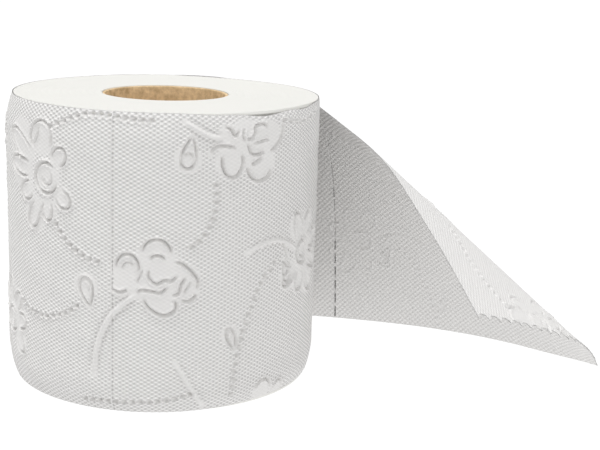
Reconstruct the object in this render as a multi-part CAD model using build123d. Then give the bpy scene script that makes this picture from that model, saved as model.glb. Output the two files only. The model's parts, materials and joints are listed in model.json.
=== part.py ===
from build123d import *
import math
import os

# Toilet paper roll: one wound paper web, whose loose end stands beside the roll, on a cardboard tube.
# Millimetres. The origin is the centre of the roll's base, +Z is up along the tube.

# ---- roll and tube ----
SHEET_WIDTH = 95.0          # across the web, which is the height of the standing roll
ROLL_RADIUS = 52.5          # outside of the last turn, where the web leaves the roll
WEB_THICKNESS = 0.5         # two soft embossed plies with the air between them
LAST_TURN = 0.8             # the last turn, with its hold on the turns beneath
RIM_ROUND = 1.0             # rounding of the packed turns at both end faces
CORE_BORE_RADIUS = 20.25    # inside of the cardboard tube
CORE_WALL = 0.8             # two spiral-wound layers of board
CORE_RECESS = 0.5           # the tube ends this far inside each end face
CORE_GAP = 0.1              # between the tube and the first turn

# ---- perforation and torn end ----
SHEET_LENGTH = 108.9        # between two perforation lines
SLIT_COUNT = 17             # slits across the web in one line
SLIT_LENGTH = 4.1
SLIT_WIDTH = 0.4
TOOTH_HEIGHT = 1.0          # torn paper left standing at each bond between two slits
CORNER_BLUNT = 0.5          # the far upper corner ends this far short of a point
CORNER_SHORT = 4.6          # the far lower corner is torn this much short of the line
SHORT_WIDTH = 48.0          # height above the lower edge where the tear meets the line

# ---- loose end of the web ----
# It bends along straight rulings, as a flat sheet does. They stand upright at the roll, fan out
# from a point above the upper edge, and run parallel from the slant limit on.
LEAVE_AT = 104.0            # azimuth where the web leaves the roll, degrees
LIFT_OFF = 5.0              # length over which the web still lies on the turn beneath
FREE_BEFORE_LINE = 76.0     # from leaving the roll to the perforation line on the loose end
SKEW = 2.0                  # climb of the loosened web, degrees
FAN_START = 12.0            # place along the lower edge where the rulings begin to slant
FAN_ABOVE = 18.0            # height of the fan's point above the upper edge
SLANT_LIMIT = 1.18          # tangent of the steepest slant
RULING_STEP = 3.0           # between two rulings along the lower edge
# Bend of the web: place along the lower edge, and degrees of bend for each 10 mm there.
BENDS = [(12, 0.0), (36, 11.4), (60, -0.5), (84, 1.7), (108, 3.3), (132, 4.1), (156, 5.2),
         (180, 14.3), (204, -0.9), (228, 10.6), (252, 0.2), (276, 2.6), (300, -2.2)]

# The floor under the far lower corner, which would bend lower.
FLOOR_LIFT = 3.6            # at the end of the web
LIFT_FROM = 154.0           # place along the web where the lift begins
LIFT_WIDTH = 40.0           # height above the lower edge where it ends

# ---- worked out ----
CORE_RADIUS = CORE_BORE_RADIUS + CORE_WALL
SLIT_PITCH = SHEET_WIDTH / SLIT_COUNT
TAIL_LENGTH = FREE_BEFORE_LINE + SHEET_LENGTH
STUB_LENGTH = (LIFT_OFF + FAN_START) / 2
FAN_HEIGHT = SHEET_WIDTH + FAN_ABOVE
LINES_ON_ROLL = int((2 * math.pi * ROLL_RADIUS + FREE_BEFORE_LINE) / SHEET_LENGTH)


def core_tube():
    """The cardboard tube, a little shorter than the web is wide."""
    height = SHEET_WIDTH - 2 * CORE_RECESS
    wall = Circle(CORE_RADIUS) - Circle(CORE_BORE_RADIUS)
    return Pos(0, 0, CORE_RECESS) * extrude(wall, height)


def packed_turns():
    """All turns but the last, as one ring with rounded rims."""
    outer = ROLL_RADIUS - WEB_THICKNESS - CORE_GAP
    inner = CORE_RADIUS + CORE_GAP
    ring = extrude(Circle(outer) - Circle(inner), SHEET_WIDTH)
    rims = ring.edges().filter_by(GeomType.CIRCLE).sort_by(SortBy.RADIUS)[-2:]
    return fillet(rims, RIM_ROUND)


def last_turn():
    """The last turn, one thickness of web higher where it ends than where it starts.

    Two half circles with centres a quarter thickness to each side of the axis make the spiral.
    At its end the web runs on along the tangent, clear of the turn beneath after LIFT_OFF.
    """
    quarter = WEB_THICKNESS / 4
    low_radius = ROLL_RADIUS - 3 * quarter
    high_radius = ROLL_RADIUS - quarter
    opposite = (0, -(ROLL_RADIUS - 2 * quarter))
    under = -quarter + math.sqrt(low_radius ** 2 - LIFT_OFF ** 2)
    web_inside = ROLL_RADIUS - WEB_THICKNESS
    outline = Wire([
        Edge.make_line((0, ROLL_RADIUS), (STUB_LENGTH, ROLL_RADIUS)),
        Edge.make_line((STUB_LENGTH, ROLL_RADIUS), (STUB_LENGTH, web_inside)),
        Edge.make_line((STUB_LENGTH, web_inside), (LIFT_OFF, web_inside)),
        Edge.make_line((LIFT_OFF, web_inside), (LIFT_OFF, under)),
        Edge.make_three_point_arc((LIFT_OFF, under), (low_radius, -quarter), opposite),
        Edge.make_three_point_arc(opposite, (-high_radius, quarter), (0, ROLL_RADIUS)),
    ])
    band = Face(outline) - Circle(ROLL_RADIUS - LAST_TURN)
    return Rot(0, 0, LEAVE_AT - 90) * extrude(band, SHEET_WIDTH, dir=(0, 0, 1))


def slant(place):
    """Tangent of the slant of the ruling that starts at this place on the lower edge."""
    return min(max((place - FAN_START) / FAN_HEIGHT, 0.0), SLANT_LIMIT)


def ease(share):
    """Rises smoothly from 0 to 1 as the share does."""
    share = min(max(share, 0.0), 1.0)
    return share ** 2 * (3 - 2 * share)


def bend_rate(place):
    """Degrees of bend per millimetre, eased from each entry of BENDS to the next."""
    for (start, low), (end, high) in zip(BENDS, BENDS[1:]):
        if start <= place < end:
            return (low + (high - low) * ease((place - start) / (end - start))) / 10
    return 0.0


class Ruling:
    """A straight line across the web, and the flat piece of web that lies on it."""

    def __init__(self, place, foot, along, across):
        self.place = place        # on the lower edge, from where the web leaves the roll
        self.foot = foot          # that place on the bent web
        self.along = along        # direction of the web's length
        self.across = across      # direction of its width
        self.inward = along.cross(across)

    def point(self, length, width, depth=0.0):
        """A place given on the flat web, as it lies on the bent one.

        The floor lifts the far lower corner, less and less away from it.
        """
        offset = self.along * (length - self.place) + self.across * width
        bent = self.foot + offset + self.inward * depth
        rise = max((length - LIFT_FROM) / (TAIL_LENGTH - LIFT_FROM), 0.0) ** 2
        bent.Z += FLOOR_LIFT * rise * ease(1 - width / LIFT_WIDTH)
        return bent

    def next(self, place):
        """The ruling at the next place, after the web has bent halfway there and halfway after."""
        step = place - self.place
        angle = -bend_rate((place + self.place) / 2) * step
        foot = self.foot + self.along * step
        line = Axis((0, 0, 0), self.across - self.along * slant(place))
        return Ruling(place, foot, self.along.rotate(line, angle), self.across.rotate(line, angle))


def start_places():
    """Where the rulings start: (place, tooth height, width above the lower edge)."""
    count = int((TAIL_LENGTH - CORNER_SHORT - FAN_START) / RULING_STEP)
    places = [(FAN_START + RULING_STEP * n, 0.0, 0.0) for n in range(count)]
    for half in range(2 * SLIT_COUNT):
        width = half * SLIT_PITCH / 2
        tooth = TOOTH_HEIGHT * ((half + 1) % 2) - CORNER_SHORT * ease(1 - width / SHORT_WIDTH)
        places.append((TAIL_LENGTH + tooth + width * SLANT_LIMIT, tooth, width))
    corner = SHEET_WIDTH - CORNER_BLUNT
    places.append((TAIL_LENGTH + corner * SLANT_LIMIT, 0.0, corner))
    return places


def web_section(ruling, length, width):
    """Outline of the web's thickness along a ruling, from this flat place to the upper edge."""
    upper = ruling.place - SHEET_WIDTH * slant(ruling.place)
    return Wire.make_polygon([
        ruling.point(length, width),
        ruling.point(upper, SHEET_WIDTH),
        ruling.point(upper, SHEET_WIDTH, WEB_THICKNESS),
        ruling.point(length, width, WEB_THICKNESS),
    ])


def loose_end():
    """The free web from the stub of the last turn to the torn end, and the rulings it bends on."""
    upright = Vector(0, 0, 1)
    outward = Vector(1, 0, 0).rotate(Axis.Z, LEAVE_AT)
    tangent = outward.cross(upright)
    foot = outward * ROLL_RADIUS
    stub = Ruling(STUB_LENGTH, foot + tangent * STUB_LENGTH, tangent, upright)
    climb = Axis((0, 0, 0), outward)
    ruling = Ruling(0, foot, tangent.rotate(climb, -SKEW), upright.rotate(climb, -SKEW))
    rulings = []
    sections = [web_section(stub, STUB_LENGTH, 0)]
    for place, tooth, width in start_places():
        ruling = ruling.next(place)
        rulings.append(ruling)
        length = min(place, TAIL_LENGTH + tooth)
        sections.append(web_section(ruling, length, width))
    return Solid.make_loft(sections, ruled=True), rulings


def ruling_through(rulings, length, width):
    """The last ruling that starts before the one through this place of the flat web."""
    fanned = (length - width * FAN_START / FAN_HEIGHT) / (1 - width / FAN_HEIGHT)
    parallel = length + width * SLANT_LIMIT
    place = min(fanned, parallel)
    return [ruling for ruling in rulings if ruling.place <= place][-1]


def tail_slits(rulings):
    """The slits of the perforation line on the loose end."""
    cutter = Box(SLIT_WIDTH, SLIT_LENGTH, 6 * WEB_THICKNESS)
    slits = []
    for n in range(SLIT_COUNT):
        width = (n + 0.5) * SLIT_PITCH
        ruling = ruling_through(rulings, FREE_BEFORE_LINE, width)
        middle = ruling.point(FREE_BEFORE_LINE, width, WEB_THICKNESS / 2)
        slits.append(Plane(middle, x_dir=ruling.along, z_dir=ruling.inward) * cutter)
    return slits


def roll_slits():
    """The slits of the perforation lines that the last turn carries, one web thickness deep."""
    cutter = Box(2 * WEB_THICKNESS, SLIT_WIDTH, SLIT_LENGTH)
    circumference = 2 * math.pi * ROLL_RADIUS
    slits = []
    for line in range(1, LINES_ON_ROLL + 1):
        wound = line * SHEET_LENGTH - FREE_BEFORE_LINE
        surface = ROLL_RADIUS - WEB_THICKNESS * wound / circumference
        turn = Rot(0, 0, LEAVE_AT + 360 * wound / circumference)
        slits += [turn * Pos(surface, 0, (n + 0.5) * SLIT_PITCH) * cutter for n in range(SLIT_COUNT)]
    return slits


def paper_roll():
    """The whole web: packed turns, last turn and loose end."""
    tail, rulings = loose_end()
    web = packed_turns() + last_turn() + tail
    return web - (tail_slits(rulings) + roll_slits())


PARTS = {"paper_roll": paper_roll(), "core_tube": core_tube()}

os.makedirs("parts", exist_ok=True)
for name, shape in PARTS.items():
    export_step(shape, f"parts/{name}.step")
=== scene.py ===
import json
import math

import bpy
import numpy as np
from mathutils import Matrix, Vector


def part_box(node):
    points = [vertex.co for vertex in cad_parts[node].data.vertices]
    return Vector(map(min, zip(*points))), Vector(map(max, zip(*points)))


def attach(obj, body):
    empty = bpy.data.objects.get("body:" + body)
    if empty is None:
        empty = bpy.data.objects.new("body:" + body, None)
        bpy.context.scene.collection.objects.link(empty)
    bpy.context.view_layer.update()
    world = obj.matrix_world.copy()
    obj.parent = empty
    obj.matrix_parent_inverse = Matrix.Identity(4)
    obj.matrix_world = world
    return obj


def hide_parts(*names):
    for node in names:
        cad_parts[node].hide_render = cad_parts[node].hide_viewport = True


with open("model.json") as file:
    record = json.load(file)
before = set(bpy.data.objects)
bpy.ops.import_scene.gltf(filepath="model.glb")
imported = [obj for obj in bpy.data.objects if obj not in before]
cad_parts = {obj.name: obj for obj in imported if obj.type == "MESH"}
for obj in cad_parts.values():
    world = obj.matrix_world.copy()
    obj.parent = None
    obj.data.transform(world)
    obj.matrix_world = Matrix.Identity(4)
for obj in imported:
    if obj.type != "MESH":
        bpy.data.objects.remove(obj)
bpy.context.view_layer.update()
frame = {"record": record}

# Toilet paper roll: a wound, embossed two-ply web on a cardboard tube, with its loose end beside it.
# Sizes are in millimetres and the meshes in metres. +Z is up along the tube.

MM = 0.001
tube_low, tube_high = (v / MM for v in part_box("core_tube"))
paper_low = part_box("paper_roll")[0] / MM
bore = [m for m in frame["record"]["mounts"] if m["kind"] == "bore"][0]

# ---- roll and tube ----
SHEET_WIDTH = tube_low.z + tube_high.z      # the tube ends equally far inside both end faces
BORE_RADIUS = bore["dims"]["r_mm"]
TUBE_RADIUS = tube_high.x
SIDE_FALL = 0.116                           # how much the last turn's radius has fallen at -X
ROLL_RADIUS = SIDE_FALL - paper_low.x       # where the web leaves the roll
TURN_LENGTH = 2 * math.pi * ROLL_RADIUS
TURN_RISE = 0.5                             # the last turn rises by this much on its way round
PLY_THICKNESS, LEAST_THICKNESS = 0.34, 0.1  # both plies together, and where a free line is pressed deepest
RING_RADIUS = 51.55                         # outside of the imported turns, before it follows the last turn
RING_ROUND, RING_GAP = 0.04, 0.12           # their rims' rounding, and the gap between them and the tube
BACKING, BACKING_EASE = 2.4, 2.5            # depth of turns that the wound sheets take in, eased in over this
BACKING_ROOM = 0.6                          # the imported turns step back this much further
BARREL_IN, BARREL_OVER = 1.9, 10.0          # the turns draw in at both end faces, over this height
SEAM_LEAD = 84.0                            # height that the tube's spiral seam climbs in one turn

# ---- perforation ----
SHEET_LENGTH = 108.9
SLIT_COUNT = 17
SLIT_SHARE = 0.74                           # share of the line that is cut
LAID_GAP = 0.09                             # slits of the lines that lie on the roll
LINE_DENT, DENT_HALF = 0.28, 0.3            # depth of the crease along those lines, and its half width
SLIT_PUSH = 1.8                             # edges of the free slits, pushed outward by the blade
SLIT_LIP = 0.36                             # length of web that each pushed edge takes
SLIT_OPEN = [1, 1, 1, 1, 1, 1, 0.3, 0.25, 0.3, 1.5, 0.25, 1.5]  # share of the push, from the lowest slit
SLIT_OPEN_ABOVE = 0.1                       # the same for the slits above those
TOOTH_HEIGHT, TOOTH_HOLLOW = 2.2, 0.15      # a torn tooth past the line, and the hollow between two
CORNER_SHORT, SHORT_WIDTH = 4.6, 48.0       # the far lower corner is torn short of the line

# ---- loose end: a flat web bent along straight rulings that fan out and then run parallel ----
LEAVE_AT = 104.0                            # degrees from +X to where the web leaves the roll
FREE_LINE = 76.0                            # from there to the free perforation line
SKEW = math.radians(2.0)                    # the free web climbs by this angle
SETTLE = 34.0                               # length on the roll over which the web takes up its skew
FAN_START = 12.0                            # the rulings fan out from here on
FAN_HEIGHT = SHEET_WIDTH + 18.0             # height of the point that they fan out from
SLANT_LIMIT = 1.18                          # tangent of the slant that the parallel ones have
RULING_STEP, RULINGS_TO = 1.5, 330.0
BEND_PLACES = np.arange(12.0, 301.0, 24.0)
BEND_RATES = np.array([0, 11.4, -0.5, 1.7, 3.3, 4.1, 5.2, 14.3, -0.9, 10.6, 0.2, 2.6, -2.2])
FLOOR_LIFT, LIFT_FROM, LIFT_WIDTH = 3.6, 154.0, 40.0    # the far lower corner is pressed up by the floor
CLIMB_TRIM = 0.62                           # the upper edge is let down where the web leaves
TRIM_ALONG = 0, 14, 60, 30                  # over this stretch: its start, rise, stop and fall
TRIM_ABOVE, TRIM_OVER = 80, 15              # and from this height on
TAIL_LENGTH = FREE_LINE + SHEET_LENGTH

# ---- rim of the last turn: stretches of the wound length, each by its start, rise, stop and fall ----
FULL_RIM, FULL_SHARE = (205, 25, 290, 30), 0.8          # the upper rim draws in by this share less
LOOSE_RIM = 150, 22, 226, 18                # it stands off the turns beneath
SLACK_RIM = 82, 12, 152, 20                 # it stands off them a little
LOWERED_RIM = 158, 26, 232, 22              # it is lowered
LOOSE_OFF, LOOSE_LEAST, SLACK_OFF = 0.95, 0.2, 0.25     # how far it stands off
RIM_DIP = 1.0                               # how far it is lowered
LOWER_EDGE_RISE = 1.1                       # the lower edge is raised by this much
LOWER_EDGE_AT, LOWER_EDGE_OVER = 205, 32    # about this wound length, and this far on either side
RIM_JOIN = 30                               # the barrel fades over this length towards the leaving place

# ---- emboss ----
REPEAT, PRINT_START = 165.0, 70.0           # the emboss repeats along the web
PRINT_FROM = -34.0                          # the loose end carries its own print from here on
PRINT_ALONG, PRINT_ACROSS = 299.0, 13.5     # where that print lies against the one on the roll
LINE_PRESS, LINE_SHOULDER = 1.65, 0.8       # depth of a pressed line and height of its shoulders
DOT_PRESS, DOT_RING = 1.3, 0.3              # depth of a dot and height of the ring around it
AREA_RISE = 0.05                            # height of the plain areas
WAVINESS = 0.13                             # height of the slow waves beneath the print
LOOSE_SHARE = 0.62                          # the print of the free sheets is this share as deep
INNER_SHARE = 0.3                           # and the inner ply follows it by this share

# The fine pins stand in rows, each shifted by half against the next. The inner ply's are squarer.
PIN_ALONG, PIN_ACROSS, PIN_HEIGHT = 2.29, 1.34, 0.25
INNER_ALONG, INNER_ACROSS = 2.0, 2.02
# Where the pins are weaker, the tissue's colour is also painted darker, as shade in place of theirs.
PLAIN_SHARE, INNER_PLAIN = 0.85, 0.1                    # they are that much weaker on the print, by side
# This also paints the whole inner side darker, as shade.
INNER_PINS_AND_SHADE = 0.5                                        # and on the whole inner side
WORN_FROM, WORN_OVER, WORN_SHARE = 30, 20, 0.6          # they fade past the free line, by this share

# ---- sheets and their grids ----
LINES_ON_ROLL = [FREE_LINE - SHEET_LENGTH * k for k in (1, 2, 3)]
TURN_END = -TURN_LENGTH - 14.0              # the last turn goes on a little under itself
STEP_WOUND, STEP_FREE = ((0.37, 0.5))
CLOSE = np.array([0.0, 0.12, 0.24, 0.38, 0.55])         # columns from either end of a sheet
RIM_ROWS = np.array([0.0, 0.8, 1.6, 2.6])               # rows of a hidden inner side, from either edge
END_GAP = 0.8                                           # from the end columns to the even ones
EDGE_FADE = 0.8                                         # the emboss fades out this close to an edge
BAKE_MARGIN = 0.01


# ------------------------------------------------------------------ web as a surface

def ease(x):
    """Smooth step from 0 to 1: three x squared less two x cubed, held at both ends."""
    x = np.clip(x, 0.0, 1.0)
    return x * x * (3 - 2 * x)


def stretch(x, start, rise, stop, fall):
    """1 over a stretch, eased in over the rise after its start and out over the fall before its stop."""
    return ease((x - start) / rise) * ease((stop - x) / fall)


def bend_rate(place):
    """Degrees of bend for each millimetre at a place along the lower edge, eased between the stated ones.

    The stated rates are in tenths of a degree.
    """
    k = np.clip(np.searchsorted(BEND_PLACES, place, side="right") - 1, 0, len(BEND_PLACES) - 2)
    share = ease((place - BEND_PLACES[k]) / (BEND_PLACES[k + 1] - BEND_PLACES[k]))
    rate = BEND_RATES[k] + (BEND_RATES[k + 1] - BEND_RATES[k]) * share
    return np.where((place < BEND_PLACES[0]) | (place > BEND_PLACES[-1]), 0.0, rate) / 10


def slant(place):
    """Tangent of a ruling's slant: it grows in line with the place until the slant limit."""
    return np.clip((place - FAN_START) / FAN_HEIGHT, 0.0, SLANT_LIMIT)


def ruling_frames():
    """Foot, direction along the web and direction across it at each ruling.

    From one ruling to the next the foot moves along the web, and both directions turn about the ruling.
    """
    azimuth = math.radians(LEAVE_AT)
    outward = Vector((math.cos(azimuth), math.sin(azimuth), 0.0))
    tangent = outward.cross(Vector((0, 0, 1)))
    climb = Matrix.Rotation(-SKEW, 3, outward)
    foot, along, across = outward * ROLL_RADIUS, climb @ tangent, climb @ Vector((0, 0, 1))
    places = np.arange(0.0, RULINGS_TO, RULING_STEP)
    frames = []
    for place in places:
        frames.append([*foot, *along, *across])
        foot = foot + along * RULING_STEP
        ruling = (across - along * float(slant(place + RULING_STEP))).normalized()
        turn = math.radians(-float(bend_rate(place + RULING_STEP / 2)) * RULING_STEP)
        twist = Matrix.Rotation(turn, 3, ruling)
        along, across = twist @ along, twist @ across
    return places, np.array(frames)


RULING_PLACES, RULING_FRAMES = ruling_frames()


def ruling_place(length, width):
    """Where the ruling through a flat place starts on the lower edge.

    It is the lesser of the places that the fan and the parallel rulings give.
    """
    fanned = (length - width * FAN_START / FAN_HEIGHT) / (1 - width / FAN_HEIGHT)
    return np.maximum(np.minimum(fanned, length + width * SLANT_LIMIT), 0.0)


def unit(v):
    """The same directions with length one."""
    return v / np.linalg.norm(v, axis=-1, keepdims=True)


def drawn_in(height, wound):
    """How far the roll's side draws in at this height: the square of the depth into the rim's zone.

    Over one stretch of the roll the upper rim stands out nearly as far as the wall beneath.
    """
    fuller = FULL_SHARE * stretch(wound, *FULL_RIM)
    lower = np.clip(1 - height / BARREL_OVER, 0, 1)
    upper = np.clip(1 - (SHEET_WIDTH - height) / BARREL_OVER, 0, 1)
    return BARREL_IN * (lower ** 2 + upper ** 2 * (1 - fuller))


def turn_share(wound):
    """How much of that applies: nothing where the web leaves the roll, and all of it further round."""
    return stretch(np.mod(wound, TURN_LENGTH), 0, RIM_JOIN, TURN_LENGTH, RIM_JOIN)


def climb_trim(length, width):
    """How far the web is let down along its upper edge: a stretch of the length, eased in with the width."""
    return CLIMB_TRIM * stretch(length, *TRIM_ALONG) * ease((width - TRIM_ABOVE) / TRIM_OVER)


def web_point(length, width):
    """Place in space of the web's outer side, and its outward direction, for flat places on it.

    Wound part: a circle whose radius falls by the turn's rise each time round, at the height of the width.
    Loose part: foot of the ruling, plus the rest of the length along the web and the width across it.
    """
    skew = SKEW * ease((length + SETTLE) / (SETTLE + FAN_START))
    s = length * np.cos(skew) - width * np.sin(skew)
    t = width * np.cos(skew) + np.maximum(length, 0) * np.sin(skew)
    wound = np.maximum(-s, 0.0)
    radius = ROLL_RADIUS - TURN_RISE * wound / TURN_LENGTH - drawn_in(t, wound) * turn_share(wound)
    leave_at = math.radians(LEAVE_AT)
    azimuth = leave_at + wound / ROLL_RADIUS
    outward = np.stack([np.cos(azimuth), np.sin(azimuth), 0 * azimuth], -1)
    tangent = np.array([math.sin(leave_at), -math.cos(leave_at), 0.0])
    on_roll = outward * radius[..., None] + tangent * np.maximum(s, 0.0)[..., None]
    on_roll[..., 2] = t - climb_trim(length, width)

    place = ruling_place(length, width)
    f = np.stack([np.interp(place, RULING_PLACES, RULING_FRAMES[:, k]) for k in range(9)], -1)
    along, across = unit(f[..., 3:6]), unit(f[..., 6:9])
    free = f[..., 0:3] + along * (length - place)[..., None] + across * width[..., None]
    rise = np.maximum((length - LIFT_FROM) / (TAIL_LENGTH - LIFT_FROM), 0.0) ** 2
    lift = FLOOR_LIFT * rise * ease(1 - width / LIFT_WIDTH)
    free[..., 2] += lift - climb_trim(length, width)
    is_free = (length >= FAN_START)[..., None]
    point = np.where(is_free, free, on_roll)
    normal = np.where(is_free, -np.cross(along, across), outward)
    return point, unit(normal)


# ------------------------------------------------------------------ emboss

def path_lengths(path):
    """Length of a path up to each of its points."""
    return np.concatenate([[0], np.cumsum(np.linalg.norm(np.diff(path, axis=0), axis=1))])


def places_on(path, run, at):
    """Places on a path at the given lengths along it, straight between its points."""
    return np.stack([np.interp(at, run, path[:, k]) for k in range(2)], -1)


def curve(points, count=28):
    """A smooth line through the points, evenly sampled: a cubic between each two, by those around them."""
    p = np.asarray(points, float)
    if len(p) == 2:
        return p[0] + (p[1] - p[0]) * np.linspace(0, 1, count)[:, None]
    ends = np.vstack([2 * p[0] - p[1], p, 2 * p[-1] - p[-2]])
    out = []
    for a, b, c, d in zip(ends, ends[1:], ends[2:], ends[3:]):
        x = np.linspace(0, 1, 12, endpoint=False)[:, None]
        straight = 2 * b + (c - a) * x
        out.append(0.5 * (straight + (2 * a - 5 * b + 4 * c - d) * x**2 + (3 * b - a - 3 * c + d) * x**3))
    path = np.vstack(out + [p[-1:]])
    run = path_lengths(path)
    return places_on(path, run, np.linspace(0, run[-1], count))


def lobe(centre, angle, reach, long_half, wide_half, open_half):
    """Outline of a petal: an ellipse that points away from the flower's centre and stays open towards it."""
    turn = math.radians(angle)
    middle = (centre[0] + reach * math.cos(turn), centre[1] + reach * math.sin(turn))
    return ring(middle, long_half, wide_half, open_half - 180, 180 - open_half, angle)


def ring(centre, rx, ry, start, stop, tilt=0.0, count=26):
    """Part of an ellipse from one angle to another, tilted about its centre."""
    a = np.radians(np.linspace(start, stop, count))
    x, y = rx * np.cos(a), ry * np.sin(a)
    c, s = math.cos(math.radians(tilt)), math.sin(math.radians(tilt))
    return np.stack([centre[0] + x * c - y * s, centre[1] + x * s + y * c], -1)


def teardrop(tip, round_end, half):
    """Outline of a leaf from its pointed tip round its broad end and back."""
    tip, far = np.asarray(tip, float), np.asarray(round_end, float)
    axis = far - tip
    side = np.array([-axis[1], axis[0]]) / np.linalg.norm(axis)
    a = np.linspace(0, 2 * math.pi, 26)
    along = axis * ((1 - np.cos(a)) / 2)[:, None]
    return tip + along + side * (half * np.sin(a) * np.sin(a / 2) ** 1.2)[:, None]


# One repeat of the emboss, in wound length and height: lines with their half width and depth, dots, and
# round plain areas without pins.
print_lines, print_dots, print_areas = [], [], []


def line(points, half=0.5, depth=0.6):
    """A pressed line through the points."""
    print_lines.append((curve(points), half, depth))


def stem(points):
    """A stem: a wider line that is turned outward as a low ridge."""
    line(points, 0.7, -0.5)


def arc(centre, rx, ry, start, stop, half=0.45, depth=0.65, tilt=0.0):
    """A pressed line along part of an ellipse."""
    print_lines.append((ring(centre, rx, ry, start, stop, tilt), half, depth))


def petals(centre, shapes, open_half):
    """Petals round a centre, each by its angle, reach and two half sizes, on plain areas."""
    for angle, reach, long_half, wide_half in shapes:
        print_lines.append((lobe(centre, angle, reach, long_half, wide_half, open_half), 0.45, 0.6))
        a = math.radians(angle)
        middle = (centre[0] + reach * math.cos(a), centre[1] + reach * math.sin(a))
        print_areas.append((*middle, max(long_half, wide_half) + 0.8))


def bud(centre, rx, ry, tilt=0.0):
    """The middle of a daisy: an open ring with a smaller one and a short line in it."""
    x, y = centre
    arc(centre, rx, ry, 15, 335, 0.5, 0.7, tilt)
    arc((x + 0.3, y), rx * 0.5, ry * 0.45, 150, 400, 0.4, 0.4, tilt)
    line([(x - rx * 0.2, y - ry * 0.1), (x + rx * 0.1, y - ry * 0.6)], 0.4, 0.4)
    print_areas.append((x, y, max(rx, ry) + 1.2))


def leaf(tip, round_end, half):
    """A leaf: its outline, and a small open ring in its broad end."""
    print_lines.append((teardrop(tip, round_end, half), 0.45, 0.6))
    inner = np.asarray(tip) * 0.28 + np.asarray(round_end) * 0.72
    arc(inner, half * 0.5, half * 0.62, -60, 230, 0.4, 0.4)
    print_areas.append((float(inner[0]), float(inner[1]), half + 1.3))


def dot_row(points, pitch=2.7):
    """Dots at an even pitch along a smooth line through the points."""
    path = curve(points, 160)
    run = path_lengths(path)
    print_dots.extend(places_on(path, run, np.arange(0, run[-1], pitch)).tolist())


def upright_flower():
    """The full flower that stands up, with a rolled middle, a base leaf, its stem, a leaf and dots."""
    arc((146.6, 47.4), 3.6, 4.4, -35, 190, 0.45, 0.65)
    arc((146.9, 46.6), 2.0, 2.6, 40, 175, 0.4, 0.4)
    arc((155.6, 52.0), 4.4, 4.6, -5, 178, 0.45, 0.65)
    arc((155.8, 49.9), 2.3, 1.7, 15, 165, 0.45, 0.6)
    line([(160.6, 49.6), (163.4, 49.0), (166.4, 46.4), (168.4, 43.4), (168.0, 40.2)], 0.45, 0.65)
    line([(153.4, 47.6), (153.2, 44.6), (155.6, 42.6), (158.2, 43.8), (160.2, 43.6), (162.6, 45.6)])
    line([(164.8, 44.8), (163.2, 42.4), (162.4, 39.6), (160.2, 38.8)])
    line([(166.4, 43.4), (165.0, 41.2), (164.0, 39.4)], 0.4, 0.4)
    line([(149.6, 43.0), (150.6, 45.0), (151.2, 47.2)], 0.45, 0.5)
    line([(149.2, 39.4), (151.0, 40.6), (154.4, 40.2), (157.0, 39.9), (159.4, 41.8)], 0.5, 0.65)
    line([(151.2, 38.4), (153.4, 34.8), (157.8, 32.6), (161.4, 34.2), (161.4, 36.8), (159.4, 36.9)],
         0.5, 0.65)
    line([(141.6, 40.4), (144.0, 39.5), (146.8, 40.4)])
    line([(163.0, 37.2), (165.8, 37.1), (168.4, 39.2)])
    print_areas.extend([(146.8, 46.6, 5.2), (155.4, 50.0, 6.4), (158.0, 44.0, 6.4), (163.8, 43.6, 5.6),
                        (157.2, 36.8, 5.0), (150.6, 41.6, 4.4), (145.2, 41.0, 3.2)])
    stem([(150.4, 39.4), (146.6, 37.0), (141.6, 32.0), (138.0, 25.4), (136.2, 18.4), (135.6, 11.6)])
    leaf((134.4, 33.6), (132.2, 43.0), 3.1)
    dot_row([(129.4, 33.4), (125.4, 30.6), (120.4, 28.6), (114.4, 27.6), (108.4, 28.0), (103.4, 29.8)])


def hanging_flower():
    """The full flower that hangs under the upper edge, with its stem, leaf and dots."""
    arc((179.0, 80.6), 3.5, 5.2, 150, 395, 0.45, 0.65)
    arc((189.0, 78.4), 4.8, 4.8, 175, 350, 0.45, 0.65)
    arc((189.4, 90.4), 2.6, 2.2, 20, 190, 0.45, 0.6)
    line([(198.8, 92.2), (197.8, 87.4), (195.4, 84.4), (192.8, 82.2)], 0.5, 0.65)
    line([(171.6, 83.0), (173.6, 85.2), (176.4, 85.4), (180.6, 84.6)], 0.5, 0.6)
    line([(176.4, 91.4), (178.4, 90.6), (179.8, 88.4), (181.6, 90.2)])
    line([(183.2, 91.0), (182.6, 88.2), (183.6, 86.4)], 0.45, 0.5)
    line([(187.4, 90.4), (186.0, 87.8), (184.0, 87.0)])
    line([(184.2, 86.0), (185.6, 82.6), (188.6, 82.0), (191.0, 83.0)])
    line([(185.8, 78.8), (187.8, 79.6), (189.8, 81.2)], 0.5, 0.6)
    line([(186.4, 85.6), (189.4, 86.4), (192.6, 87.0)], 0.45, 0.5)
    print_areas.extend([(179.0, 80.6, 5.8), (189.0, 79.4, 6.2), (184.4, 87.4, 6.6), (191.6, 87.8, 6.2),
                        (178.0, 87.6, 4.6)])
    stem([(164.0, 92.6), (168.0, 90.4), (172.0, 88.6), (176.0, 87.8)])
    leaf((166.2, 88.4), (164.4, 78.6), 3.1)
    dot_row([(173.8, 73.4), (174.0, 68.0), (172.6, 62.0), (169.8, 57.2), (165.4, 53.4)])


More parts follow.
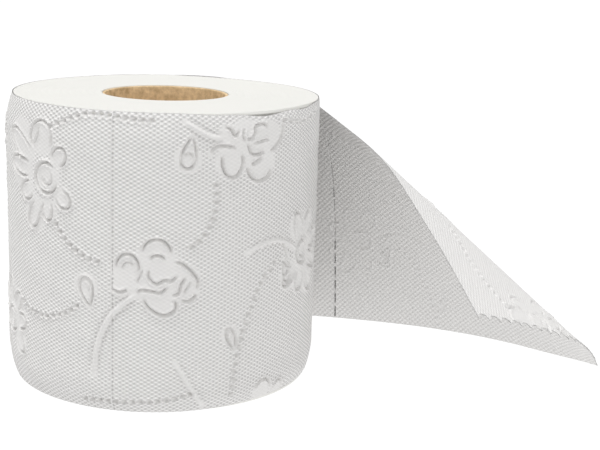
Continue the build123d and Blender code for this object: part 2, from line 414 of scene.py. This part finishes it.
def high_daisy():
    """The daisy near the upper edge, with the two rows of dots beside it."""
    centre = (117.4, 72.4)
    bud(centre, 4.6, 4.8, 20)
    petals(centre, [(100, 12.6, 5.2, 5.0), (52, 9.0, 3.2, 2.7), (-40, 9.2, 3.2, 2.6),
                    (-87, 10.2, 3.2, 2.2), (-115, 13.2, 5.0, 2.6), (-152, 11.4, 3.4, 2.9),
                    (172, 13.8, 6.6, 2.9), (148, 16.0, 8.0, 3.4)], 40)
    line([(111.4, 82.0), (113.6, 85.4), (114.2, 88.0)], 0.4, 0.4)
    dot_row([(119.6, 88.8), (123.4, 90.4), (128.0, 92.4), (134.0, 93.8), (141.0, 93.6), (148.0, 92.9),
             (156.0, 92.6)])
    dot_row([(121.4, 58.4), (124.4, 54.8), (128.6, 51.6), (133.6, 49.2), (139.0, 48.4)])


def middle_daisy():
    """The daisy half way up, with a long curved stem, two leaves and a row of dots."""
    centre = (212.0, 47.0)
    bud(centre, 4.0, 3.8, 0)
    petals(centre, [(108, 9.8, 4.4, 2.8), (66, 9.6, 4.2, 2.8), (20, 9.4, 4.2, 2.8),
                    (-26, 9.8, 4.4, 2.6), (-62, 11.2, 5.0, 2.6), (-100, 9.0, 3.8, 2.4),
                    (-140, 10.0, 4.4, 2.5)], 36)
    stem([(184.8, 50.6), (190.0, 52.6), (197.0, 53.4), (203.0, 51.4), (208.0, 48.4)])
    line([(200.8, 52.0), (202.0, 48.6), (203.4, 46.6)], 0.45, 0.5)
    leaf((200.6, 46.2), (203.6, 38.6), 2.3)
    dot_row([(196.6, 46.2), (191.0, 40.4), (187.4, 33.6), (184.6, 26.6), (182.4, 18.6), (181.0, 10.4),
             (180.4, 2.6)])
    leaf((181.2, 19.6), (178.8, 27.0), 2.0)


def low_daisy():
    """The daisy near the lower edge, and a leaf with its dots between two repeats."""
    centre = (93.0, 21.0)
    bud(centre, 3.8, 4.0, 0)
    petals(centre, [(96, 9.6, 4.2, 2.7), (50, 9.2, 4.0, 2.6), (8, 8.8, 3.8, 2.6), (-40, 9.4, 4.2, 2.6),
                    (142, 9.4, 4.2, 2.6), (186, 9.2, 4.0, 2.5), (232, 9.2, 4.0, 2.6)], 36)
    leaf((82.0, 88.0), (79.0, 78.0), 3.0)
    dot_row([(83.6, 83.0), (82.0, 70.0), (78.0, 56.0), (76.0, 42.0), (78.0, 30.0), (81.0, 24.0)])


def cut_tips():
    """Tips of the sprays that the lower edge cuts off, and the dots along both edges."""
    stem([(161.5, 17.0), (164.4, 12.0), (167.6, 6.6), (171.0, 1.6)])
    dot_row([(132.0, 3.2), (141.5, 3.4), (150.0, 3.8), (159.4, 4.6), (167.0, 6.4)])
    arc((193.2, 2.8), 3.4, 4.4, -5, 175, 0.45, 0.6)
    arc((200.8, 1.2), 2.6, 3.6, 5, 175, 0.45, 0.6)
    print_areas.extend([(193.2, 3.0, 4.2), (200.8, 1.6, 3.4)])
    dot_row([(199.6, 92.4), (205.0, 91.4), (211.0, 91.2), (217.0, 92.0), (223.0, 92.4)], 2.9)


for draw in (upright_flower, hanging_flower, high_daisy, middle_daisy, low_daisy, cut_tips):
    draw()


def emboss(length, width):
    """The print of the loose end and that of the roll, which meet at a perforation line behind the roll.

    Beneath the roll's own, the web is a little uneven, as the product of two slanting waves.
    """
    height, plain = sprayed(-length, width)
    waves = np.sin(0.31 * length - 0.35 * width), np.sin(0.12 * length + 0.17 * width + 1.0)
    height = height + WAVINESS * waves[0] * waves[1]
    loose = ease((length - PRINT_FROM) / 3.0)
    if loose.max() > 0:
        other, other_plain = sprayed(PRINT_ALONG - length, width + PRINT_ACROSS)
        height, plain = height + (other - height) * loose, plain + (other_plain - plain) * loose
    return height, plain


def nearest_on(path, w, t):
    """Distance from each place to the path, and the share of the path that lies before its nearest point."""
    p = np.stack([w, t], -1)
    best = np.full(len(p), 1e9)
    at = np.zeros(len(p))
    for k, (a, b) in enumerate(zip(path, path[1:])):
        d = b - a
        x = np.clip(((p - a) @ d) / (d @ d), 0, 1)
        gap = np.linalg.norm(p - a - x[:, None] * d, axis=1)
        closer = gap < best
        best[closer] = gap[closer]
        at[closer] = (k + x[closer]) / (len(path) - 1)
    return best, at


def sprayed(wound, width):
    """Height of the emboss in millimetres, and how plain the web is there.

    A line is pressed in by a bell of the distance to it, between two low shoulders, and a stem is the same
    turned outward. A dot is a bell of its own in a raised ring, and a plain area a low dome without pins.
    """
    wound = np.mod(wound - PRINT_START, REPEAT) + PRINT_START
    height, plain = np.zeros_like(wound), np.zeros_like(wound)
    for shift in (-REPEAT, 0.0, REPEAT):
        w = wound + shift
        for path, half, depth in print_lines:
            lo, hi = path.min(0) - 3 * half - 0.6, path.max(0) + 3 * half + 0.6
            near = (w > lo[0]) & (w < hi[0]) & (width > lo[1]) & (width < hi[1])
            if not near.any():
                continue
            gap, at = nearest_on(path, w[near], width[near])
            strength = ease(np.minimum(at, 1 - at) * 7)
            height[near] -= LINE_PRESS * depth * strength * np.exp(-(gap / (0.8 * half)) ** 2)
            shoulder = np.exp(-((gap - 1.7 * half) / (0.7 * half)) ** 2)
            height[near] += LINE_SHOULDER * depth * strength * shoulder
            plain[near] = np.maximum(plain[near], 1 - ease((gap - 0.5) / 0.8))
        for x, y in print_dots:
            near = (abs(w - x) < 2.4) & (abs(width - y) < 2.0)
            r2 = ((w[near] - x) / 0.9) ** 2 + ((width[near] - y) / 0.7) ** 2
            height[near] -= DOT_PRESS * np.exp(-1.3 * r2)
            height[near] += DOT_RING * np.exp(-((np.sqrt(r2) - 1.6) / 0.5) ** 2)
            plain[near] = np.maximum(plain[near], 0.6 - 0.6 * ease((np.sqrt(r2) - 0.9) / 0.7))
        for x, y, r in print_areas:
            near = (abs(w - x) < r * 1.3) & (abs(width - y) < r * 1.3)
            d = np.hypot(w[near] - x, width[near] - y) / r
            height[near] += AREA_RISE * (1 - ease(d))
            plain[near] = np.maximum(plain[near], 1 - ease((d - 0.85) / 0.3))
    return height, np.clip(plain, 0, 1)


# ------------------------------------------------------------------ perforation

def off_bond(width):
    """Distance from the nearest bond of a perforation line, as a share of the slits' pitch."""
    pitch = SHEET_WIDTH / SLIT_COUNT
    return abs(width / pitch - np.round(width / pitch))


def in_slit(width):
    """1 inside each slit of a perforation line and 0 at the bonds between them."""
    return ease((off_bond(width) - (1 - SLIT_SHARE) / 2) / 0.06)


def laid_gap(width):
    """Half of the gap that a slit leaves on the roll."""
    return LAID_GAP / 2 * in_slit(width)


def torn_edge(width):
    """How far the torn end reaches past its line: a tooth stands at each bond and falls in a hollow arc.

    The teeth are lower towards the lower corner.
    """
    tooth = TOOTH_HEIGHT * (1 - 2 * off_bond(width)) ** 3.5 - TOOTH_HOLLOW
    return tooth * (0.15 + 0.85 * ease((width - 8) / 20))


def corner_short(width):
    """How far the tear stays short of its line towards the lower corner."""
    return CORNER_SHORT * ease(1 - width / SHORT_WIDTH)


def no_edge(width):
    """A straight end with no slits."""
    return 0 * width


def hanging_tooth(width):
    """How far the torn end falls short of its line, which is less than nothing at the teeth."""
    return -torn_edge(width)


# ------------------------------------------------------------------ meshes

def make_mesh(name, points, faces, uv_maps, attributes=(), sharp=60.0):
    """A mesh object from points, faces and a flat place for each point in each UV map."""
    mesh = bpy.data.meshes.new(name)
    mesh.from_pydata(points.tolist(), [], faces)
    corners = np.zeros(len(mesh.loops), np.int32)
    mesh.loops.foreach_get("vertex_index", corners)
    for uv_name, uv in uv_maps.items():
        layer = mesh.uv_layers.new(name=uv_name)
        layer.data.foreach_set("uv", uv[corners].astype(np.float32).ravel())
    for attribute_name, values in attributes:
        layer = mesh.attributes.new(attribute_name, "FLOAT", "POINT")
        layer.data.foreach_set("value", values.astype(np.float32))
    mesh.shade_smooth()
    mesh.set_sharp_from_angle(angle=math.radians(sharp))
    mesh.update()
    obj = bpy.data.objects.new(name, mesh)
    bpy.context.scene.collection.objects.link(obj)
    return obj


def grid_quads(rows, columns, start=0, flip=False):
    """The squares of a grid whose points are numbered row by row from the start."""
    i, j = np.meshgrid(np.arange(rows - 1), np.arange(columns - 1), indexing="ij")
    a = start + i * columns + j
    quads = np.stack([a, a + 1, a + columns + 1, a + columns], -1).reshape(-1, 4)
    return quads[:, ::-1] if flip else quads


def shell_faces(nu, nv, rows):
    """Faces of a closed shell: the outer grid, the inner grid that keeps only some rows, and four rims."""
    base, ni, last = nu * nv, len(rows), nu - 1
    faces = grid_quads(nu, nv).tolist() + grid_quads(nu, ni, base, True).tolist()
    a, b = np.arange(nu - 1), np.arange(nv - 1)
    low, low_inner = a * nv, base + a * ni
    high, high_inner = low + nv - 1, low_inner + ni - 1
    faces += np.stack([low, low + nv, low_inner + ni, low_inner], -1).tolist()
    faces += np.stack([high, high_inner, high_inner + ni, high + nv], -1).tolist()
    if ni == nv:
        faces += np.stack([b, base + b, base + b + 1, b + 1], -1).tolist()
        far, far_inner = last * nv + b, base + last * ni + b
        faces += np.stack([far, far + 1, far_inner + 1, far_inner], -1).tolist()
    else:
        faces.append([*range(nv - 1, -1, -1), *(base + k for k in range(ni))])
        far, far_inner = last * nv, base + last * ni
        faces.append([*(far + k for k in range(nv)), *(far_inner + k for k in range(ni - 1, -1, -1))])
    return faces


def slit_push(s, t):
    """How far the free slits' edges stand out of the web: a peak at the line, by each slit's own share."""
    slit = t / SHEET_WIDTH * SLIT_COUNT - 0.5
    share = np.interp(slit, range(len(SLIT_OPEN)), SLIT_OPEN, right=SLIT_OPEN_ABOVE)
    return SLIT_PUSH * share * in_slit(t) * np.clip(1 - abs(s - FREE_LINE) / SLIT_LIP, 0, 1)


def loose_rim(point, normal, s, t):
    """The last turn stands a little off the turns beneath along its upper edge, more on one side of the roll.

    Outward by a bell of the depth below the edge over two stretches, with small waves, and lowered by such
    a bell over a third one. The lower edge is raised by a bell of the wound length.
    """
    wound, below_edge = -s, SHEET_WIDTH - t
    off = LOOSE_OFF * ease((wound - 176) / 16) + LOOSE_LEAST
    off = off + 0.14 * np.sin(wound / 5.0) + 0.08 * np.sin(wound / 2.3 + 1.0)
    off = off * stretch(wound, *LOOSE_RIM) + SLACK_OFF * stretch(wound, *SLACK_RIM)
    out = point + normal * (off * np.exp(-(below_edge / 5.0) ** 2))[..., None]
    dip = RIM_DIP + 0.3 * np.sin(wound / 3.3) + 0.25 * np.sin(wound / 7.1)
    out[..., 2] -= dip * stretch(wound, *LOWERED_RIM) * np.exp(-(below_edge / 8.0) ** 2)
    raised = np.exp(-((wound - LOWER_EDGE_AT) / LOWER_EDGE_OVER) ** 2)
    out[..., 2] += LOWER_EDGE_RISE * raised * np.exp(-(t / 8.0) ** 2)
    return out


def pin_strength(s, plain):
    """How strong the outer side's fine pins are: less towards the torn end, and least on the print."""
    # Weaker pins also darken the tissue's colour here: painted shade.
    worn = 1 - WORN_SHARE * ease((s - FREE_LINE - WORN_FROM) / WORN_OVER)
    return worn * (1 - PLAIN_SHARE * plain)


def bake_places(u, v, low, high):
    """Places in the bake map: both shares of the grid, in a strip from low to high with a margin around."""
    across = low + BAKE_MARGIN + (high - low - 2 * BAKE_MARGIN) * v
    return np.stack([BAKE_MARGIN + (1 - 2 * BAKE_MARGIN) * u, across], -1)


def web_sheet(name, start, stop, step, on_roll, first_edge=laid_gap, last_edge=laid_gap, short=no_edge):
    """One sheet of the web between two perforation lines, as a closed shell with both sides.

    The grid runs evenly along the web and across it, closer at the ends, and its end columns follow the
    slits or the torn edge. The outer side carries the emboss, and the inner side its weaker print. On the
    roll the shell takes in the turns beneath, so that its inner side stays under the deepest lines.
    """
    even = np.linspace(start + END_GAP, stop - END_GAP, int((stop - start) / step))
    columns = (np.concatenate([start + CLOSE, even, (stop - CLOSE)[::-1]]) - start) / (stop - start)
    nu, nv = len(columns), int(SHEET_WIDTH / step) + 1
    u, t = np.meshgrid(columns, np.linspace(0, SHEET_WIDTH, nv), indexing="ij")
    s = start + (stop - start - short(t)) * u
    s = s + first_edge(t) * np.clip(1 - u * 40, 0, 1) - last_edge(t) * np.clip(1 - (1 - u) * 40, 0, 1)
    height, plain = emboss(s, t)
    from_edge = np.minimum(t, SHEET_WIDTH - t)
    point, normal = web_point(s, t)
    if on_roll:
        height = height - LINE_DENT * np.exp(-(np.minimum(s - start, stop - s) / DENT_HALF) ** 2)
        depth = PLY_THICKNESS + BACKING * ease(from_edge / BACKING_EASE)
        under, push = 0 * t, 0 * t
        point = loose_rim(point, normal, s, t)
        kept = np.concatenate([RIM_ROWS, SHEET_WIDTH - RIM_ROWS[::-1]])
        rows = np.searchsorted(t[0], kept).clip(0, nv - 1)
    else:
        height, depth = LOOSE_SHARE * height, PLY_THICKNESS
        under = np.minimum(INNER_SHARE * height, height + PLY_THICKNESS - LEAST_THICKNESS)
        push = slit_push(s, t)
        rows = np.arange(nv)
    fade = ease(from_edge / EDGE_FADE)
    outer = point + normal * (height * fade + push)[..., None]
    inner = (point + normal * (under * fade + push - depth)[..., None])[:, rows]
    points = np.concatenate([outer.reshape(-1, 3), inner.reshape(-1, 3)]) * MM
    flat = np.stack([s, t], -1)
    inner_flat = flat * [PIN_ALONG / INNER_ALONG, PIN_ACROSS / INNER_ACROSS]
    web_uv = np.concatenate([flat.reshape(-1, 2), inner_flat[:, rows].reshape(-1, 2)]) * MM
    split = 0.9 if on_roll else 0.5             # the outer side's share of the bake map
    outer_bake = bake_places(u, t / SHEET_WIDTH, 0, split)
    inner_bake = bake_places(u, t / SHEET_WIDTH, split, 1)[:, rows]
    bake = np.concatenate([outer_bake.reshape(-1, 2), inner_bake.reshape(-1, 2)])
    # The inner side's weaker pins also colour it darker: painted shade over the whole inner side.
    inner_pins_and_shade = INNER_PINS_AND_SHADE * (1 - INNER_PLAIN * plain)[:, rows]
    pins = np.concatenate([pin_strength(s, plain).ravel(), inner_pins_and_shade.ravel()])
    faces = shell_faces(nu, nv, rows)
    return make_mesh(name, points, faces, {"OFBake": bake, "Web": web_uv}, [("pins", pins)])


end_sheet = web_sheet("end_sheet", FREE_LINE, TAIL_LENGTH, STEP_FREE, False, no_edge, hanging_tooth,
                      corner_short)
leaving_sheet = web_sheet("leaving_sheet", LINES_ON_ROLL[0], FREE_LINE, STEP_FREE, False, last_edge=no_edge)
front_left_sheet = web_sheet("front_left_sheet", LINES_ON_ROLL[1], LINES_ON_ROLL[0], STEP_WOUND, True)
front_right_sheet = web_sheet("front_right_sheet", LINES_ON_ROLL[2], LINES_ON_ROLL[1], STEP_WOUND, True)
tucked_sheet = web_sheet("tucked_sheet", TURN_END, LINES_ON_ROLL[2], STEP_WOUND, True, no_edge)
web_sheets = [end_sheet, leaving_sheet, front_left_sheet, front_right_sheet, tucked_sheet]


def revolve(name, profile, segments, relief):
    """A closed body of revolution about Z from a closed outline of radius and height, moved by its relief."""
    n = len(profile)
    a = np.linspace(0, 2 * math.pi, segments, endpoint=False)
    r, z = profile[:, 0], profile[:, 1]
    flat = np.zeros((segments, n))
    angle = a[:, None] + flat
    radius, height = relief(angle, r + flat, z + flat)
    points = np.stack([radius * np.cos(angle), radius * np.sin(angle), height], -1).reshape(-1, 3) * MM
    i, j = np.meshgrid(np.arange(segments), np.arange(n), indexing="ij")
    i2, j2 = (i + 1) % segments, (j + 1) % n
    faces = np.stack([i * n + j, i2 * n + j, i2 * n + j2, i * n + j2], -1).reshape(-1, 4)
    run = np.concatenate([[0], np.cumsum(np.hypot(np.diff(r), np.diff(z)))])
    uv = np.stack([angle / (2 * math.pi), run / run[-1] + flat], -1)
    return make_mesh(name, points, faces.tolist(), {"Round": uv.reshape(-1, 2)}, sharp=50.0)


def ring_outline():
    """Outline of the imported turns: flat end faces, rounded outer rims and small bevels at the tube."""
    inner, outer = TUBE_RADIUS + RING_GAP, RING_RADIUS
    low, top = 0.05, SHEET_WIDTH - 0.02
    a = np.radians(np.linspace(0, 90, 7))
    c, s = RING_ROUND * np.cos(a), RING_ROUND * np.sin(a)
    faces_r = np.linspace(inner + 0.5, outer - RING_ROUND, 70)
    up = [(outer - RING_ROUND + x, top - RING_ROUND + z) for x, z in zip(c, s)]
    down = [(outer - RING_ROUND + x, low + RING_ROUND - z) for x, z in zip(s, c)]
    walls = [(outer, z) for z in [*np.linspace(1, 10, 8), *np.linspace(top - 10, top - 1, 8)]]
    bottom = [(r, low) for r in faces_r]
    face = [(r, top) for r in faces_r[::-1]]
    hole = [(inner, top - 0.3)] + [(inner, z) for z in np.linspace(top - 6, 6, 4)] + [(inner, 0.35)]
    return np.array(bottom + down + walls + up + face + hole)


def turn_relief(angle, radius, height):
    """The end faces: turns that stand unevenly, as low ridges that wander a little round the roll.

    The outer wall lies just under the last turn, and steps back by the turn's rise where the web leaves.
    Between the rims it steps back further, and leaves room for what the wound sheets take in.
    """
    share = np.mod(angle - math.radians(LEAVE_AT), 2 * math.pi) / (2 * math.pi)
    wound = share * TURN_LENGTH
    from_edge = np.minimum(height, SHEET_WIDTH - height)
    step_back = (BACKING + BACKING_ROOM) * ease((from_edge - 0.9) / BACKING_EASE)
    wall = (ROLL_RADIUS - PLY_THICKNESS - 0.01 - RING_RADIUS - TURN_RISE * share
            - drawn_in(height, wound) * turn_share(wound) - step_back)
    radius = radius + wall * ease((radius - 40) / 11)
    top_side = height > SHEET_WIDTH / 2
    spiral = radius - TURN_RISE * angle / (2 * math.pi)
    wave = 0.05 * np.sin(spiral * 2.9) + 0.04 * np.sin(spiral * 5.3 + 1.3 * np.sin(angle))
    wave = wave + 0.03 * np.sin(spiral * 9.1 + np.sin(2 * angle + 1))
    flat = ease((radius - TUBE_RADIUS - 0.4) / 1.5) * ease((RING_RADIUS - 0.3 - radius) / 1.0)
    on_face = abs(height - SHEET_WIDTH / 2) > SHEET_WIDTH / 2 - 0.4
    return radius, height + np.where(top_side, 1, -1) * (wave - 0.1) * flat * on_face


packed_turns = revolve("packed_turns", ring_outline(), 300, turn_relief)


def tube_outline():
    """Outline of the tube's wall, with the cut ends a little rounded."""
    a, b, r = tube_low.z, tube_high.z, 0.15
    out, inn = TUBE_RADIUS, BORE_RADIUS
    rim = [(out - r, a), (out, a + r)]
    outer = [(out, z) for z in np.linspace(a + 4, b - 4, 6)]
    top = [(out, b - r), (out - r, b), (inn + r, b), (inn, b - r)]
    inner = [(inn, z) for z in np.linspace(b - 0.6, a + 0.6, 150)]
    return np.array([(inn + r, a)] + rim + outer + top + inner + [(inn, a + r)])


def board_seam(angle, radius, height):
    """The spiral seam inside the tube: a shallow groove between two edges of board, one a little higher."""
    climb = np.mod(height - SEAM_LEAD * angle / (2 * math.pi), SEAM_LEAD) - SEAM_LEAD / 2
    inside = radius < BORE_RADIUS + 0.05
    groove = 0.16 * np.exp(-(climb / 0.5) ** 2) + 0.07 * ease((climb + 6) / 5.5) * (climb < 0)
    return radius + np.where(inside, groove, 0.0), height


core_board = revolve("core_board", tube_outline(), 240, board_seam)


# ------------------------------------------------------------------ materials

def shader(name, roughness):
    """A dull material, its node tree and its Principled shader."""
    material = bpy.data.materials.new(name)
    material.use_nodes = True
    tree = material.node_tree
    principled = tree.nodes["Principled BSDF"]
    principled.inputs["Roughness"].default_value = roughness
    principled.inputs["Specular IOR Level"].default_value = 0.2
    return material, tree, principled


def node(tree, kind, inputs=None, **settings):
    """A node with its settings, whose inputs are linked to sockets or set to values."""
    made = tree.nodes.new(kind)
    for key, value in settings.items():
        setattr(made, key, value)
    for key, value in (inputs or {}).items():
        if isinstance(value, bpy.types.NodeSocket):
            tree.links.new(value, made.inputs[key])
        else:
            made.inputs[key].default_value = value
    return made


def math_node(tree, operation, a, b=0.0):
    """The output of one step of arithmetic."""
    return node(tree, "ShaderNodeMath", {0: a, 1: b}, operation=operation).outputs[0]


def noise(tree, place, scale, detail, roughness=0.5):
    """Soft noise between 0 and 1, with about as many grains to a metre as the scale says."""
    inputs = {"Vector": place, "Scale": scale, "Detail": detail, "Roughness": roughness}
    return node(tree, "ShaderNodeTexNoise", inputs).outputs["Fac"]


def cosine_wave(tree, distance, pitch):
    """The cosine of a distance in metres, which repeats at the pitch in millimetres."""
    return math_node(tree, "COSINE", math_node(tree, "MULTIPLY", distance, 2 * math.pi / (pitch * MM)))


def add_bump(tree, principled, height, distance=1.0):
    """Fine relief from a height in metres, times the distance."""
    bump = node(tree, "ShaderNodeBump", {"Height": height, "Distance": distance, "Strength": 1.0})
    tree.links.new(bump.outputs[0], principled.inputs["Normal"])


def add_shades(tree, principled, share, dark, pale, dark_at=0.0, pale_at=1.0):
    """The base colour, from dark to pale by a share between two places."""
    ramp = node(tree, "ShaderNodeValToRGB", {0: share})
    stops = ramp.color_ramp.elements
    stops[0].position, stops[1].position = dark_at, pale_at
    stops[0].color, stops[1].color = (*dark, 1), (*pale, 1)
    tree.links.new(ramp.outputs[0], principled.inputs["Base Color"])


def tissue_material(name, glow):
    """White tissue. Its fine pins follow the flat web, as the product of one wave along it and one across.

    The tops of the pins are painted whiter and the hollows between them darker: partly the denser pressed
    paper, partly painted light and shade of their relief. Where the pins are weaker the colour is painted
    darker, as shade in place of theirs. Where the web hangs free, light from behind glows through it by the
    given weight.
    """
    material, tree, principled = shader(name, 0.95)
    if glow:
        principled.inputs["Subsurface Weight"].default_value = glow
        principled.inputs["Subsurface Radius"].default_value = (1.0, 1.0, 1.0)
        principled.inputs["Subsurface Scale"].default_value = 0.6 * MM
    uv = node(tree, "ShaderNodeUVMap", uv_map="Web").outputs[0]
    parts = node(tree, "ShaderNodeSeparateXYZ", {0: uv})
    along = cosine_wave(tree, parts.outputs[0], PIN_ALONG)
    across = cosine_wave(tree, parts.outputs[1], PIN_ACROSS)
    pins = node(tree, "ShaderNodeAttribute", attribute_name="pins", attribute_type="GEOMETRY").outputs["Fac"]
    wave = math_node(tree, "MULTIPLY", math_node(tree, "MULTIPLY", along, across), pins)
    relief = math_node(tree, "MULTIPLY", wave, PIN_HEIGHT * MM)
    fuzz = math_node(tree, "MULTIPLY", noise(tree, uv, 2600.0, 3.0, 0.6), 0.02 * MM)
    add_bump(tree, principled, math_node(tree, "ADD", relief, fuzz))
    # Painted shade: where the pins are weaker, on the print, past the free line and on the inner side, the
    # colour is darker.
    painted_plain_shade = math_node(tree, "MULTIPLY", math_node(tree, "SUBTRACT", pins, 1.0), 0.26)
    shade = math_node(tree, "ADD", wave, painted_plain_shade)
    # Painted light and shade: the colour runs from the dark hollows between the pins to their whiter tops.
    painted_shade_share = node(tree, "ShaderNodeMapRange", {0: shade, 1: -1.0, 2: 1.0, 3: 0.0, 4: 1.0}).outputs[0]
    add_shades(tree, principled, painted_shade_share, (0.605, 0.597, 0.587), (0.96, 0.949, 0.937))
    return material


def turns_material():
    """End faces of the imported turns: the same tissue, with the edges of the turns as fine rings."""
    material, tree, principled = shader("tissue_turns", 0.95)
    principled.inputs["Base Color"].default_value = (0.78, 0.775, 0.742, 1)
    place = node(tree, "ShaderNodeTexCoord").outputs["Object"]
    parts = node(tree, "ShaderNodeSeparateXYZ", {0: place})
    flat = node(tree, "ShaderNodeCombineXYZ", {0: parts.outputs[0], 1: parts.outputs[1]}).outputs[0]
    radius = node(tree, "ShaderNodeVectorMath", {0: flat}, operation="LENGTH").outputs["Value"]
    from_axis = node(tree, "ShaderNodeCombineXYZ", {0: radius}).outputs[0]
    layers, fuzz = noise(tree, from_axis, 3200.0, 2.0), noise(tree, place, 1500.0, 3.0)
    add_bump(tree, principled, math_node(tree, "MULTIPLY", math_node(tree, "ADD", layers, fuzz), 0.03 * MM))
    return material


def board_material():
    """Light brown tube board with darker and paler fibres."""
    material, tree, principled = shader("brown_board", 0.9)
    place = node(tree, "ShaderNodeTexCoord").outputs["Object"]
    fibres, clouds = noise(tree, place, 420.0, 5.0, 0.65), noise(tree, place, 90.0, 2.0)
    clouded = math_node(tree, "MULTIPLY", clouds, 0.35)
    mixed = math_node(tree, "ADD", math_node(tree, "MULTIPLY", fibres, 0.65), clouded)
    add_shades(tree, principled, mixed, (0.54, 0.385, 0.21), (0.97, 0.755, 0.475), 0.36, 0.64)
    add_bump(tree, principled, fibres, 0.05 * MM)
    return material


wound_tissue, free_tissue = tissue_material("white_tissue", 0.0), tissue_material("free_tissue", 0.2)
turns, board = turns_material(), board_material()
for piece in web_sheets:
    piece.data.materials.append(free_tissue if piece in (end_sheet, leaving_sheet) else wound_tissue)
packed_turns.data.materials.append(turns)
core_board.data.materials.append(board)

for piece in web_sheets + [packed_turns]:
    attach(piece, "root")
    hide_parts("paper_roll")
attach(core_board, "root")
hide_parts("core_tube")


# ------------------------------------------------------------------ floor, light and camera

def floor_plane():
    """A wide square that glows evenly pale."""
    mesh = bpy.data.meshes.new("floor")
    mesh.from_pydata([(-8, -8, 0), (8, -8, 0), (8, 8, 0), (-8, 8, 0)], [], [(0, 1, 2, 3)])
    floor = bpy.data.objects.new("floor", mesh)
    bpy.context.scene.collection.objects.link(floor)
    material, _, principled = shader("pale_floor", 0.9)
    principled.inputs["Base Color"].default_value = (0.06, 0.06, 0.06, 1)
    principled.inputs["Emission Color"].default_value = (1, 1, 1, 1)
    principled.inputs["Emission Strength"].default_value = 0.98
    mesh.materials.append(material)


def soft_sun(name, azimuth, elevation, spread, strength):
    """A wide, even studio light from one direction."""
    light = bpy.data.lights.new(name, "SUN")
    light.angle, light.energy = math.radians(spread), strength
    obj = bpy.data.objects.new(name, light)
    a, e = math.radians(azimuth), math.radians(elevation)
    towards = Vector((math.cos(a) * math.cos(e), math.sin(a) * math.cos(e), math.sin(e)))
    obj.rotation_euler = towards.to_track_quat("Z", "Y").to_euler()
    bpy.context.scene.collection.objects.link(obj)


floor_plane()
soft_sun("overhead_softbox", azimuth=202, elevation=72, spread=30, strength=math.pi * 0.57)
soft_sun("side_fill", azimuth=308, elevation=16, spread=60, strength=math.pi * 0.18)

world = bpy.data.worlds.new("studio")
world.use_nodes = True
studio_light = world.node_tree.nodes["Background"].inputs
studio_light["Color"].default_value = (1, 1, 1, 1)
studio_light["Strength"].default_value = 0.57
bpy.context.scene.world = world
bpy.context.scene.view_settings.view_transform = "Standard"

CAMERA_PLACE = Vector((46.80, -421.26, 148.49)) * MM
LOOKS_DOWN, LEANS = 13.08, 2.009            # degrees
camera_data = bpy.data.cameras.new("camera")
camera_data.sensor_width, camera_data.lens, camera_data.clip_start = 36.0, 75.22, 0.02
camera = bpy.data.objects.new("camera", camera_data)
pitch, roll = math.radians(LOOKS_DOWN), math.radians(LEANS)
forward = Vector((0, math.cos(pitch), -math.sin(pitch)))
level, upward = Vector((1, 0, 0)), Vector((0, math.sin(pitch), math.cos(pitch)))
side = math.cos(roll) * level + math.sin(roll) * upward
top = -math.sin(roll) * level + math.cos(roll) * upward
turned = Matrix((side, top, -forward)).transposed().to_4x4()
camera.matrix_world = Matrix.Translation(CAMERA_PLACE) @ turned
bpy.context.scene.collection.objects.link(camera)
bpy.context.scene.camera = camera
